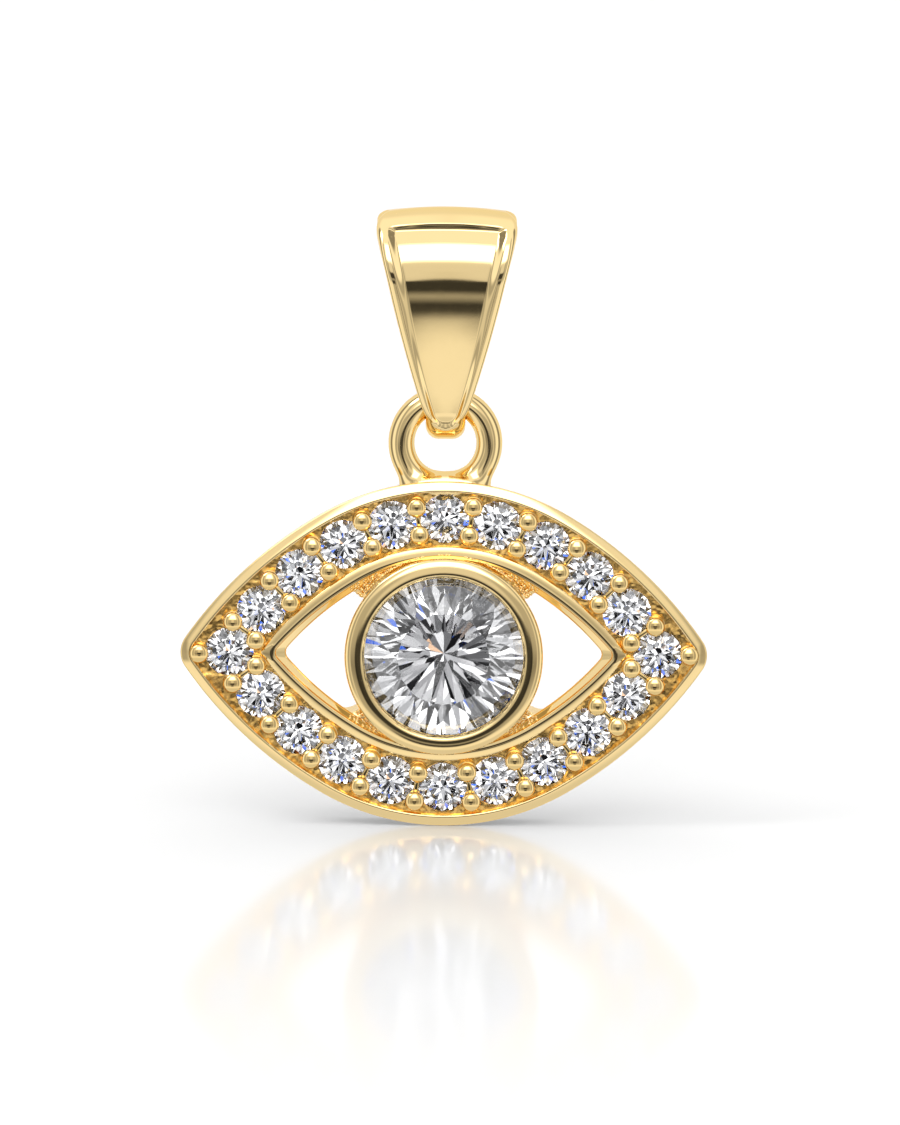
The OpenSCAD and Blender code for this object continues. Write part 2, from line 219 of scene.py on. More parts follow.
# Heights in the eye's own plane, which count towards the viewer from the middle of the frame
FRONT = FRAME_T / 2
FLOOR_H = FRONT - CHANNEL_DEPTH
PLATE_BACK = -FRONT + BACK_RECESS
INNER_FRONT = FRONT - INNER_RIM_DROP
INNER_IN = RIM_W + CHANNEL_W
ROW_IN = RIM_W + CHANNEL_W / 2
OPENING_IN = INNER_IN + INNER_RIM_W + STEP_W
INNER_HALF_W = EYE_W / 2 - LID_CORNER
FACE_HALF_W = INNER_HALF_W - INNER_RIM_CORNER
ROW_HALF_W = INNER_HALF_W + CORNER_STONE_GAP + ACCENT_D / 2
BEZEL_R = CENTER_D / 2 + BEZEL_WALL
BEZEL_BACK_R = BEZEL_R - BEZEL_TAPER
LIP_R = CENTER_D / 2 - LIP_REACH
BEZEL_CREST = FRONT + BEZEL_RISE
BEZEL_BACK = BEZEL_CREST - BEZEL_DEPTH
CENTER_H = (
    BEZEL_CREST - BEZEL_ROUND - LIP_FACE - LIP_REACH * CROWN_SLOPE - STONE_GAP
    - CENTER_D * GIRDLE_SHARE / 2
)
ACCENT_H = FLOOR_H + ACCENT_D * GIRDLE_SHARE / 2 + STONE_GAP

# Heights on the standing pendant, whose origin is the inside top of the bail
CHAIN_R = BAIL_ARCH_R - BAIL_WALL
ARCH_Z = -CHAIN_R
BAIL_BOTTOM = BAIL_WALL - BAIL_H
THROAT_R = LOOP_WIRE_R + LOOP_GAP
HINGE_Z = BAIL_BOTTOM + FOOT_WALL + THROAT_R
EYE_Z = sum(corner.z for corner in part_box("center_stone")) / MM / 2
PANEL_WIDEST_Z = ARCH_Z + 1.2
STAND_UP = (
    Matrix.Translation((0, 0, EYE_Z * MM))
    @ Matrix.Rotation(math.pi / 2, 4, "X")
    @ Matrix.Scale(MM, 4)
)

# Steps of the round stretches
MID_STEPS = 24
FLANK_STEPS = 26
TIP_STEPS = 10
TURN_STEPS = 128
SEAT_TURN_STEPS = 48
BEAD_TURN_STEPS = 36
WIRE_STEPS = 48
CREST_STEPS = 24
LIP_STEPS = 8
EDGE_STEPS = 5

# Steps round the bail's side profile, with the arch's front half divided most finely at its head
BACK_ARCH_STEPS = 40
HEAD_PLACES = (0.0, 0.16, 0.27, 0.38, 1.0)
HEAD_STEPS = (20, 24, 24, 56)
LEAF_STEPS = 100
FOOT_STEPS = 44
BACK_STEPS = 40
FOOT_STARTS = (1.9, 2.2)
FOOT_ENDS = (2.8, 3.1)

# Steps across a leaf of the bail, from the middle of its face to the middle of its inside
MIDDLE_STEPS = 24
BORDER_STEPS = 26
BORDER_SHARE = 0.75
CORNER_STEPS = 6
WALL_STEPS = 4
INNER_CORNER_STEPS = 3
INNER_STEPS = 16


def arc_point(centre, radius, angle):
    return Vector((centre[0] + radius * math.cos(angle), centre[1] + radius * math.sin(angle)))


def arc_points(centre, radius, start, end, steps):
    return [arc_point(centre, radius, start + (end - start) * i / steps) for i in range(steps + 1)]


def quarter_turn(steps):
    return [math.pi / 2 * i / steps for i in range(steps + 1)]


def edges_of(verts):
    return list({edge for vert in verts for edge in vert.link_edges})


def round_off(bm, edges, rounding, steps):
    bmesh.ops.bevel(
        bm, geom=edges, offset=rounding, segments=steps, affect="EDGES", profile=0.5, material=-1
    )


def lens(half_w, half_h, mid_r, tip):
    """Three arcs of an eye outline: over the middle, down the right flank, and round the tip."""
    out = Vector((math.sin(LID_ANGLE), math.cos(LID_ANGLE)))
    mid_c = Vector((0, half_h - mid_r))
    joint = mid_c + mid_r * out
    tip_c = Vector((half_w - tip, 0))
    chord = tip_c - joint
    flank_r = (chord.dot(chord) - tip * tip) / (2 * (-chord.dot(out) - tip))
    flank_c = joint - flank_r * out
    tip_angle = math.atan2(tip_c.y - flank_c.y, tip_c.x - flank_c.x)
    shoulder = math.pi / 2 - LID_ANGLE
    return [
        (mid_c, mid_r, math.pi / 2, shoulder, MID_STEPS),
        (flank_c, flank_r, shoulder, tip_angle, FLANK_STEPS),
        (tip_c, tip, tip_angle, 0.0, TIP_STEPS),
    ]


OUTER_LENS = lens(EYE_W / 2, EYE_H / 2, LID_R, TIP_R)
INNER_LENS = lens(INNER_HALF_W, EYE_H / 2 - INNER_IN, LID_R - INNER_IN, INNER_TIP_R)
FACE_LENS = lens(
    FACE_HALF_W,
    EYE_H / 2 - INNER_IN - INNER_RIM_W,
    LID_R - INNER_IN - INNER_RIM_W,
    OPENING_TIP_R,
)
OPENING_LENS = lens(
    FACE_HALF_W - STEP_CORNER, EYE_H / 2 - OPENING_IN, LID_R - OPENING_IN, OPENING_TIP_R
)
ROW_LENS = lens(ROW_HALF_W, EYE_H / 2 - ROW_IN, LID_R - ROW_IN, 0.0)


def quarter(outline, inset):
    """Points of an outline's upper right quarter, stepped inwards by inset."""
    points = []
    for centre, radius, start, end, steps in outline:
        points += arc_points(centre, radius - inset, start, end, steps)[:-1]
    centre, radius, _, end, _ = outline[-1]
    return points + [arc_point(centre, radius - inset, end)]


def lens_loop(bm, outline, inset, height):
    """A closed loop of edges along an outline."""
    corner = quarter(outline, inset)
    count = len(corner) - 1
    verts = bmesh.ops.create_circle(bm, segments=4 * count, radius=1)["verts"]
    for k, vert in enumerate(verts):
        turn, j = divmod(k, count)
        point = corner[j] if turn % 2 == 0 else corner[count - j]
        side = 1 if turn < 2 else -1
        lid = 1 if turn in (0, 3) else -1
        vert.co = (side * point.x, lid * point.y, height)
    return edges_of(verts)


def ring_body(bm, section):
    """A closed band through corners (outline, inset, height, rounding) of its section."""
    loops = [lens_loop(bm, outline, inset, height) for outline, inset, height, _ in section]
    for here, there in zip(loops, loops[1:] + loops[:1]):
        bmesh.ops.bridge_loops(bm, edges=here + there)
    for edges, (_, _, _, rounding) in zip(loops, section):
        if rounding:
            round_off(bm, edges, rounding, EDGE_STEPS)


def spin_round(bm, verts, edges, axis, steps):
    bmesh.ops.spin(
        bm, geom=verts + edges, cent=(0, 0, 0), axis=axis, angle=2 * math.pi, steps=steps,
        use_merge=True,
    )


def lathe(bm, profile, steps=TURN_STEPS, closed=True):
    """Spins a profile of (radius, height) points about the upright axis."""
    verts = [bm.verts.new((radius, 0, height)) for radius, height in profile]
    pairs = list(zip(verts, verts[1:] + verts[:1] if closed else verts[1:]))
    edges = [bm.edges.new(pair) for pair in pairs]
    spin_round(bm, verts, edges, (0, 0, 1), steps)


def close_up(bm):
    """Merges what coincides and turns the faces outwards."""
    bmesh.ops.remove_doubles(bm, verts=bm.verts, dist=1e-5)
    bmesh.ops.dissolve_degenerate(bm, edges=bm.edges, dist=1e-6)
    bmesh.ops.recalc_face_normals(bm, faces=bm.faces)


def new_object(bm, name, material=None):
    mesh = bpy.data.meshes.new(name)
    bm.to_mesh(mesh)
    bm.free()
    if material:
        mesh.materials.append(material)
    obj = bpy.data.objects.new(name, mesh)
    bpy.context.scene.collection.objects.link(obj)
    return obj


def smooth(obj, angle=38):
    for face in obj.data.polygons:
        face.use_smooth = True
    obj.data.set_sharp_from_angle(angle=math.radians(angle))


def cut_with(obj, cutter):
    """Takes the cutter out of the object and deletes the cutter."""
    cut = obj.modifiers.new("cut", "BOOLEAN")
    cut.operation = "DIFFERENCE"
    cut.solver = "EXACT"
    cut.object = cutter
    depsgraph = bpy.context.evaluated_depsgraph_get()
    cut_mesh = bpy.data.meshes.new_from_object(obj.evaluated_get(depsgraph))
    obj.modifiers.clear()
    obj.data = cut_mesh
    bpy.data.objects.remove(cutter)


def settle(obj, body, node, angle=38):
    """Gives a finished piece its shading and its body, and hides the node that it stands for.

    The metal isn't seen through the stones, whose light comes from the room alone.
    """
    smooth(obj, angle)
    obj.visible_transmission = False
    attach(obj, body)
    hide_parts(node)


# Materials


# Where the noise mostly lies between its ends
NOISE_LOW, NOISE_HIGH = 0.3, 0.7
MICRON = 1e-6
COLOUR_PATCH_MM = 1.4
POLISH_PATCH_MM = 0.35
POLISH_GRAIN_MM = 0.06
LEAST_ROUGH, MOST_ROUGH = 0.6, 1.5
EDGE_GOLD = (1.0, 0.88, 0.62, 1)


def new_material(name, plain=False):
    """A material, its nodes, links and object coordinates, plain ones without the usual shader."""
    material = bpy.data.materials.new(name)
    material.use_nodes = True
    nodes, links = material.node_tree.nodes, material.node_tree.links
    if plain:
        nodes.remove(nodes["Principled BSDF"])
    return material, nodes, links, nodes.new("ShaderNodeTexCoord").outputs["Object"]


def noise(nodes, links, coordinates, feature_mm, detail=3.0, roughness=0.5):
    """Noise on object coordinates whose features are about feature_mm across."""
    texture = nodes.new("ShaderNodeTexNoise")
    texture.inputs["Scale"].default_value = 1 / (feature_mm * MM)
    texture.inputs["Detail"].default_value = detail
    texture.inputs["Roughness"].default_value = roughness
    links.new(coordinates, texture.inputs["Vector"])
    return texture.outputs["Fac"]


def spread(nodes, links, value, low, high):
    """A 0 to 1 value spread between low and high."""
    out = nodes.new("ShaderNodeMapRange")
    out.inputs["From Min"].default_value = NOISE_LOW
    out.inputs["From Max"].default_value = NOISE_HIGH
    out.inputs["To Min"].default_value = low
    out.inputs["To Max"].default_value = high
    links.new(value, out.inputs["Value"])
    return out.outputs["Result"]


def bump(nodes, links, height, distance_um):
    node = nodes.new("ShaderNodeBump")
    node.inputs["Strength"].default_value = 1.0
    node.inputs["Distance"].default_value = distance_um * MICRON
    links.new(height, node.inputs["Height"])
    return node


def gold(name, pale, deep, rough, wave_mm, wave_um, grain_um):
    """Polished gold: slow colour change, uneven polish, casting waves and fine polishing grain."""
    material, nodes, links, where = new_material(name)
    shader = nodes["Principled BSDF"]
    shader.inputs["Metallic"].default_value = 1.0
    shader.inputs["Specular Tint"].default_value = EDGE_GOLD
    mix = nodes.new("ShaderNodeMix")
    mix.data_type = "RGBA"
    mix.inputs["A"].default_value = (*pale, 1)
    mix.inputs["B"].default_value = (*deep, 1)
    links.new(noise(nodes, links, where, COLOUR_PATCH_MM), mix.inputs["Factor"])
    links.new(mix.outputs["Result"], shader.inputs["Base Color"])
    patches = noise(nodes, links, where, POLISH_PATCH_MM, detail=4.0, roughness=0.6)
    uneven = spread(nodes, links, patches, rough * LEAST_ROUGH, rough * MOST_ROUGH)
    links.new(uneven, shader.inputs["Roughness"])
    waves = bump(nodes, links, noise(nodes, links, where, wave_mm, detail=1.0), wave_um)
    grain = bump(nodes, links, noise(nodes, links, where, POLISH_GRAIN_MM, detail=2.0), grain_um)
    links.new(waves.outputs["Normal"], grain.inputs["Normal"])
    links.new(grain.outputs["Normal"], shader.inputs["Normal"])
    return material


BAIL_GOLD = gold(
    "bail_gold", pale=(0.93, 0.72, 0.37), deep=(0.91, 0.69, 0.33), rough=0.05,
    wave_mm=1.6, wave_um=4.0, grain_um=0.1,
)
POLISHED = gold(
    "polished_gold", pale=(0.93, 0.715, 0.36), deep=(0.90, 0.67, 0.31), rough=0.05,
    wave_mm=1.2, wave_um=4.0, grain_um=0.1,
)
BEAD_GOLD = gold(
    "bead_gold", pale=(0.91, 0.68, 0.31), deep=(0.87, 0.62, 0.26), rough=0.07,
    wave_mm=0.9, wave_um=3.0, grain_um=0.2,
)
# Painted shade: the channel's gold is a deeper, more orange copy of the polished gold. It stands in
# for light bounced between the gold walls of the sunken channel. Its rougher polish and casting
# waves are the metal's own.
CHANNEL_GOLD_PAINTED_SHADE = gold(
    "channel_gold_painted_shade", pale=(0.96, 0.63, 0.21), deep=(0.9, 0.52, 0.14), rough=0.2,
    wave_mm=0.3, wave_um=60.0, grain_um=1.0,
)
CAST_GOLD = gold(
    "cast_gold", pale=(0.93, 0.71, 0.37), deep=(0.88, 0.64, 0.29), rough=0.1,
    wave_mm=0.12, wave_um=14.0, grain_um=2.0,
)


def cut_stone(name, speck_mm, clearness):
    """Clear cut stone with a faintly uneven polish."""
    material, nodes, links, where = new_material(name, plain=True)
    specks = noise(nodes, links, where, speck_mm, detail=2.0)
    polish = spread(nodes, links, specks, 0.0, STONE_ROUGHNESS)
    glass = nodes.new("ShaderNodeBsdfGlass")
    glass.inputs["Color"].default_value = (clearness, clearness, clearness, 1)
    glass.inputs["IOR"].default_value = STONE_IOR
    links.new(polish, glass.inputs["Roughness"])
    links.new(glass.outputs["BSDF"], nodes["Material Output"].inputs["Surface"])
    return material


CENTER_STONE = cut_stone("center_stone_cut", speck_mm=0.8, clearness=0.9)
ACCENT_STONE = cut_stone("accent_stone_cut", speck_mm=0.3, clearness=0.95)


# The eye's frame


def outer_rim():
    """Outer rim, whose front leans outwards from a narrow crest beside the channel."""
    bm = bmesh.new()
    ring_body(bm, [
        (OUTER_LENS, DRAFT, -FRONT, BACK_EDGE),
        (OUTER_LENS, 0, FRONT - RIM_FALL, SHOULDER_EDGE),
        (OUTER_LENS, RIM_W - RIM_CREST_W, FRONT, CREST_EDGE),
        (OUTER_LENS, RIM_W, FRONT - RIM_LIP_FALL, LIP_EDGE),
        (OUTER_LENS, RIM_W, -FRONT, BACK_EDGE),
    ])
    close_up(bm)
    bm.transform(STAND_UP)
    settle(new_object(bm, "outer_rim", POLISHED), "eye", "eye_frame")


def inner_rim():
    """Inner rim: a broad face, a low lip, and a ledge that slopes down to the opening."""
    bm = bmesh.new()
    ring_body(bm, [
        (INNER_LENS, 0, -FRONT, INNER_BACK_EDGE),
        (INNER_LENS, 0, INNER_FRONT - FACE_FALL, SHOULDER_EDGE),
        (FACE_LENS, -INNER_LIP_W, INNER_FRONT, SHOULDER_EDGE),
        (FACE_LENS, 0, INNER_FRONT - INNER_LIP_FALL, LIP_EDGE),
        (FACE_LENS, 0, INNER_FRONT - LEDGE_TOP, LIP_EDGE),
        (OPENING_LENS, 0, INNER_FRONT - LEDGE_FOOT, LEDGE_EDGE),
        (OPENING_LENS, -DRAFT, -FRONT, INNER_BACK_EDGE),
    ])
    close_up(bm)
    bm.transform(STAND_UP)
    settle(new_object(bm, "inner_rim", POLISHED), "eye", "eye_frame")


def row_place(distance, out=0.0):
    """A point of the row of small stones, counted clockwise from the left tip, and its normal."""
    (mid_c, mid_r, _, shoulder, _), (flank_c, flank_r, _, tip_angle, _) = ROW_LENS[:2]
    flank = flank_r * (shoulder - tip_angle)
    quarter_length = flank + mid_r * LID_ANGLE
    lower = distance > 2 * quarter_length
    folded = 4 * quarter_length - distance if lower else distance
    right = folded > quarter_length
    folded = 2 * quarter_length - folded if right else folded
    if folded <= flank:
        centre, radius, angle = flank_c, flank_r, tip_angle + folded / flank_r
    else:
        centre, radius, angle = mid_c, mid_r, shoulder + (folded - flank) / mid_r
    point = arc_point(centre, radius + out, angle)
    side, lid = (1 if right else -1), (-1 if lower else 1)
    return Vector((side * point.x, lid * point.y, 0)), math.atan2(
        lid * math.sin(angle), side * math.cos(angle)
    )


ROW_LENGTH = 4 * (
    ROW_LENS[1][1] * (ROW_LENS[1][2] - ROW_LENS[1][3]) + ROW_LENS[0][1] * LID_ANGLE
)
PITCH = ROW_LENGTH / ACCENT_COUNT


def seat_profile(diameter, hole_d, back):
    """Section of the room that a stone and the hole behind it take out of the metal."""
    radius = diameter / 2 + STONE_GAP
    table_r = diameter * TABLE_SHARE / 2
    half_girdle = diameter * GIRDLE_SHARE / 2
    top = half_girdle + (diameter / 2 - table_r) * CROWN_SLOPE + STONE_GAP
    hole_r = hole_d / 2
    return [
        (0, top),
        (table_r + STONE_GAP, top),
        (radius, half_girdle + STONE_GAP),
        (radius, -half_girdle - STONE_GAP),
        (hole_r, -half_girdle - STONE_GAP - (radius - hole_r) * PAVILION_SLOPE),
        (hole_r, back),
        (0, back),
    ]


def repeated(source, places):
    """A new mesh with a copy of the source at each place, and the source given up."""
    mesh = bpy.data.meshes.new("one_copy")
    source.to_mesh(mesh)
    source.free()
    bm = bmesh.new()
    for place in places:
        before = len(bm.verts)
        bm.from_mesh(mesh)
        bm.verts.ensure_lookup_table()
        bmesh.ops.transform(bm, matrix=place, verts=bm.verts[before:])
    bpy.data.meshes.remove(mesh)
    return bm


def seat_cutters():
    bm = bmesh.new()
    profile = seat_profile(ACCENT_D, ACCENT_HOLE_D, -FRAME_T - ACCENT_H)
    lathe(bm, profile, SEAT_TURN_STEPS, closed=False)
    close_up(bm)
    places = [
        Matrix.Translation(row_place(i * PITCH)[0] + Vector((0, 0, ACCENT_H)))
        for i in range(ACCENT_COUNT)
    ]
    bm = repeated(bm, places)
    bm.transform(STAND_UP)
    return new_object(bm, "seats")


def channel_plate():
    """Drilled plate, which runs halfway under the outer rim and a little way under the inner one."""
    bm = bmesh.new()
    ring_body(bm, [
        (OUTER_LENS, RIM_W / 2 + PLATE_DRAFT, PLATE_BACK, 0),
        (OUTER_LENS, RIM_W / 2, FLOOR_H, 0),
        (INNER_LENS, INNER_RIM_W / 4, FLOOR_H, 0),
        (INNER_LENS, INNER_RIM_W / 4, PLATE_BACK, 0),
    ])
    close_up(bm)
    bm.transform(STAND_UP)
    # The plate takes the channel gold, whose deeper orange is painted shade.
    plate = new_object(bm, "channel_plate", CHANNEL_GOLD_PAINTED_SHADE)
    cut_with(plate, seat_cutters())
    settle(plate, "eye", "eye_frame", angle=30)


def prong_places():
    places = []
    for i in range(ACCENT_COUNT):
        for out in (BEAD_REACH, -BEAD_REACH):
            places.append(row_place((i + 0.5) * PITCH, out)[0])
    for side in (-1, 1):
        places.append(Vector((side * (ROW_HALF_W + CORNER_BEAD_REACH), 0, 0)))
    chance = random.Random(11)
    leans = [
        Matrix.Rotation(chance.uniform(0, BEAD_TILT), 4, Vector((math.cos(a), math.sin(a), 0)))
        for a in (chance.uniform(0, 2 * math.pi) for _ in places)
    ]
    return [
        Matrix.Translation(place + Vector((0, 0, FLOOR_H))) @ lean
        for place, lean in zip(places, leans)
    ]


def prongs():
    """Beads with a thin collar at the foot, and a web between the two of each pair."""
    bm = bmesh.new()
    root = FLOOR_H - PLATE_BACK
    neck = -math.asin((BEAD_WIDEST - COLLAR_H) / BEAD_DROP)
    angles = [neck + (math.pi / 2 - neck) * k / BEAD_STEPS for k in range(BEAD_STEPS)]
    edge = (COLLAR_R - BEAD_R) / 2
    lathe(bm, [
        (0, -root / 2),
        (COLLAR_R, -root / 2),
        *arc_points((COLLAR_R - edge, COLLAR_H - edge), edge, 0, math.pi / 2, 3),
        *(
            (BEAD_R * math.cos(a), BEAD_WIDEST + (BEAD_DOME if a > 0 else BEAD_DROP) * math.sin(a))
            for a in angles
        ),
        (0, BEAD_WIDEST + BEAD_DOME),
    ], BEAD_TURN_STEPS, closed=False)
    close_up(bm)
    bm = repeated(bm, prong_places())
    for i in range(ACCENT_COUNT):
        middle, angle = row_place((i + 0.5) * PITCH)
        place = (
            Matrix.Translation(middle + Vector((0, 0, FLOOR_H)))
            @ Matrix.Rotation(angle, 4, "Z")
            @ Matrix.Diagonal((2 * BEAD_REACH, WEB_W, 2 * WEB_RISE, 1))
        )
        web = bmesh.ops.create_cube(bm, size=1, matrix=place)["verts"]
        round_off(bm, edges_of(web), WEB_W / 4, 3)
    bmesh.ops.recalc_face_normals(bm, faces=bm.faces)
    bm.transform(STAND_UP)
    settle(new_object(bm, "prongs", BEAD_GOLD), "eye", "eye_frame", angle=40)


def bezel():
    """Wall round the centre stone: a full rounded crest, a lip over the stone, and its seat."""
    bm = bmesh.new()
    low = BEZEL_CREST - BEZEL_ROUND
    crest_r = LIP_R + CREST_IN
    crest = [
        (
            crest_r + (BEZEL_R - crest_r) * math.cos(a) ** CREST_FULLNESS,
            low + BEZEL_ROUND * math.sin(a) ** CREST_FULLNESS,
        )
        for a in quarter_turn(CREST_STEPS)
    ]
    crest += [
        (crest_r - CREST_IN * math.sin(a), low + BEZEL_ROUND * math.cos(a))
        for a in quarter_turn(LIP_STEPS)[1:]
    ]
    girdle = CENTER_D * GIRDLE_SHARE / 2 + STONE_GAP
    seat_r = CENTER_D / 2 + STONE_GAP
    hole_r = CENTER_HOLE_D / 2
    edge = BEZEL_BACK_EDGE
    lathe(bm, [
        (hole_r, BEZEL_BACK),
        *arc_points((BEZEL_BACK_R - edge, BEZEL_BACK + edge), edge, -math.pi / 2, 0, 4),
        *crest,
        (LIP_R, CENTER_H + girdle + (seat_r - LIP_R) * CROWN_SLOPE),
        (seat_r, CENTER_H + girdle),
        (seat_r, CENTER_H - girdle),
        (hole_r, CENTER_H - girdle - (seat_r - hole_r) * PAVILION_SLOPE),
    ])
    close_up(bm)
    bm.transform(STAND_UP)
    settle(new_object(bm, "bezel", POLISHED), "eye", "eye_frame", angle=30)


def loop():
    """Round wire loop, flared with solder where it stands on the frame."""
    bm = bmesh.new()
    wire = bmesh.ops.create_circle(
        bm, segments=WIRE_STEPS, radius=LOOP_WIRE_R, matrix=Matrix.Translation((LOOP_R, 0, 0))
    )["verts"]
    spin_round(bm, wire, edges_of(wire), (0, 1, 0), 2 * TURN_STEPS)
    close_up(bm)
    centre_z = HINGE_Z - LOOP_R
    for vert in bm.verts:
        core = Vector((vert.co.x, 0, vert.co.z)).normalized() * LOOP_R
        frame_top = EYE_Z + EYE_H / 2 - LID_R + math.sqrt(LID_R ** 2 - vert.co.x ** 2)
        above = max(vert.co.z + centre_z - frame_top, 0)
        vert.co += (vert.co - core).normalized() * FOOT_FLARE * math.exp(-above / FOOT_FLARE_H)
    bm.transform(Matrix.Translation((0, 0, centre_z * MM)) @ Matrix.Scale(MM, 4))
    settle(new_object(bm, "loop", POLISHED), "eye", "eye_frame")


# The bail

SIDE_DROP = BAIL_H - BAIL_CROWN - BAIL_FOOT_W / 2
LEAF_LEAN = math.asin((BAIL_ARCH_R - FOOT_R) / (ARCH_Z - BAIL_BOTTOM - FOOT_R))


def drop_point(arch_r, foot_r, foot_z, share):
    """A point of a drop-shaped side profile and its outward normal, as (y, z) pairs.

    share runs 0 to 4: over the arch, down the front leaf, round the foot, up the back leaf.
    """
    lean = math.asin((arch_r - foot_r) / (ARCH_Z - foot_z))
    part, along = min(int(share), 3), share - min(int(share), 3)
    if part == 0:
        angle = -lean + (math.pi + 2 * lean) * along
        centre, radius = (0, ARCH_Z), arch_r
    elif part == 2:
        angle = math.pi + lean + (math.pi - 2 * lean) * along
        centre, radius = (0, foot_z), foot_r
    else:
        angle = math.pi + lean if part == 1 else -lean
        arch, foot = Vector((ARCH_Z, arch_r)), Vector((foot_z, foot_r))
        height, radius = arch.lerp(foot, along) if part == 1 else foot.lerp(arch, along)
        centre = (0, height)
    normal = Vector((math.cos(angle), math.sin(angle)))
    return Vector(centre) + radius * normal, normal


def bail_half_w(z):
    """Half the bail's width at a height, with its long sides bowed and its top corners rounded."""
    share = min(max((z - BAIL_BOTTOM - BAIL_FOOT_W / 2) / SIDE_DROP, 0), 1)
    half_w = (BAIL_FOOT_W + (BAIL_TOP_W - BAIL_FOOT_W) * share) / 2
    half_w += BAIL_BOW * 4 * share * (1 - share)
    rise = max(z - (BAIL_WALL - BAIL_CROWN - BAIL_CORNER_R), 0) / (BAIL_CROWN + BAIL_CORNER_R)
    return half_w - BAIL_CORNER_R * (1 - math.sqrt(max(1 - rise * rise, 0)))


def ease(low, high, value):
    """0 below low, 1 above high, and a soft step between them."""
    t = min(max((value - low) / (high - low), 0), 1)
    return t * t * (3 - 2 * t)


def curve_through(knots, place):
    """Smooth curve through (place, value, slope) knots, level beyond its ends."""
    if place <= knots[0][0]:
        return knots[0][1]
    for (x0, y0, m0), (x1, y1, m1) in zip(knots, knots[1:]):
        if place <= x1:
            d = x1 - x0
            t = (place - x0) / d
            return (
                y0 * (1 + 2 * t) * (1 - t) ** 2 + m0 * d * t * (1 - t) ** 2
                + y1 * t * t * (3 - 2 * t) + m1 * d * t * t * (t - 1)
            )
    return knots[-1][1]


def panel_depth(x, y, z, along):
    """Depth of the sunken panel at a point of the bail's front, along millimetres from its top."""
    if y > 0:
        return 0.0
    half_w = bail_half_w(min(z, PANEL_WIDEST_Z))
    height = ease(PANEL_FOOT_Z, PANEL_HEAD_Z, z)
    border = BORDER_W + (BORDER_HEAD_W - BORDER_W) * height
    cove = COVE_W + (COVE_HEAD_W - COVE_W) * height
    foot_c = BAIL_BOTTOM + BORDER_FOOT + BAIL_FOOT_W / 2 - border
    side = half_w - border - (math.hypot(x, z - foot_c) if z < foot_c else abs(x))
    across = min(abs(x) / half_w, 1) ** 2
    head = along - BORDER_TOP - HEAD_BEND * across
    inner = 1 - math.hypot(max(1 - side / cove, 0), max(1 - head / HEAD_WALL_W, 0))
    depth = curve_through(PANEL_DEPTHS, z - BAND_BEND * across) + DISH * (1 - across)
    return depth * ease(0, 1, inner)


def section_right(half_w, edge, thickness):
    """Right half of a leaf's section as (x, depth) points, from the middle of its face."""
    flat = half_w - edge
    border = min(BORDER_HEAD_W + COVE_HEAD_W - edge, flat * BORDER_SHARE)
    middle = flat - border
    points = [(middle * i / MIDDLE_STEPS, 0.0) for i in range(MIDDLE_STEPS)]
    points += [(middle + border * i / BORDER_STEPS, 0.0) for i in range(BORDER_STEPS)]
    points += [
        (flat + edge * math.sin(a), edge - edge * math.cos(a))
        for a in quarter_turn(CORNER_STEPS)
    ]
    inside, wall_end = half_w - BAIL_INNER_EDGE, thickness - BAIL_INNER_EDGE
    points += [(half_w, edge + (wall_end - edge) * i / WALL_STEPS) for i in range(1, WALL_STEPS)]
    points += [
        (inside + BAIL_INNER_EDGE * math.cos(a), wall_end + BAIL_INNER_EDGE * math.sin(a))
        for a in quarter_turn(INNER_CORNER_STEPS)
    ]
    points += [(inside * (1 - i / INNER_STEPS), thickness) for i in range(1, INNER_STEPS + 1)]
    return points


def throat_reach(x):
    """How far from the hinge's axis the throat's wall stands, across the bail."""
    flare = LOOP_R - LOOP_WIRE_R - LOOP_GAP
    return THROAT_R + flare - math.sqrt(max(flare * flare - x * x, FLARE_LEAST))


def bail_shares():
    """Places round the side profile, closest together where the panel begins."""
    shares = [i / BACK_ARCH_STEPS / 2 for i in range(BACK_ARCH_STEPS)]
    for start, end, count in zip(HEAD_PLACES, HEAD_PLACES[1:], HEAD_STEPS):
        shares += [0.5 + (start + (end - start) * i / count) / 2 for i in range(count)]
    shares += [1 + i / LEAF_STEPS for i in range(LEAF_STEPS)]
    shares += [2 + i / FOOT_STEPS for i in range(FOOT_STEPS)]
    shares += [3 + i / BACK_STEPS for i in range(BACK_STEPS)]
    return shares + [4.0]


def bail_row(share):
    """Points round both leaf sides and the inside at one place on the side profile."""
    outer, normal = drop_point(BAIL_ARCH_R, FOOT_R, BAIL_BOTTOM + FOOT_R, share)
    inner, _ = drop_point(CHAIN_R, THROAT_R - LOOP_GAP, HINGE_Z, share)
    half_w = bail_half_w(outer.y)
    foot = ease(*FOOT_STARTS, share) * (1 - ease(*FOOT_ENDS, share))
    edge = BAIL_EDGE + (BAIL_FOOT_EDGE - BAIL_EDGE) * foot
    thickness = (outer - inner).length
    inward = (inner - outer) / thickness
    along = BAIL_ARCH_R * (math.pi / 2 + LEAF_LEAN) * (2 * min(share, 1) - 1) + max(share - 1, 0)
    right = section_right(half_w, edge, thickness)
    left = [(-x, depth) for x, depth in reversed(right[1:-1])]
    row = []
    for x, depth in right + left:
        y, z = outer + inward * depth
        face = 1 - depth / thickness
        sunk = panel_depth(x, y, z, along) if depth < edge else 0.0
        lift = BAIL_CROWN * (x / half_w) ** 2 * max(normal.y, 0) * face
        y, z = y - normal.x * sunk, z - normal.y * sunk - lift
        reach = math.hypot(y, z - HINGE_Z)
        wanted = throat_reach(x)
        if reach < wanted:
            y, z = y * wanted / reach, HINGE_Z + (z - HINGE_Z) * wanted / reach
        row.append(Vector((x, y, z)))
    return row


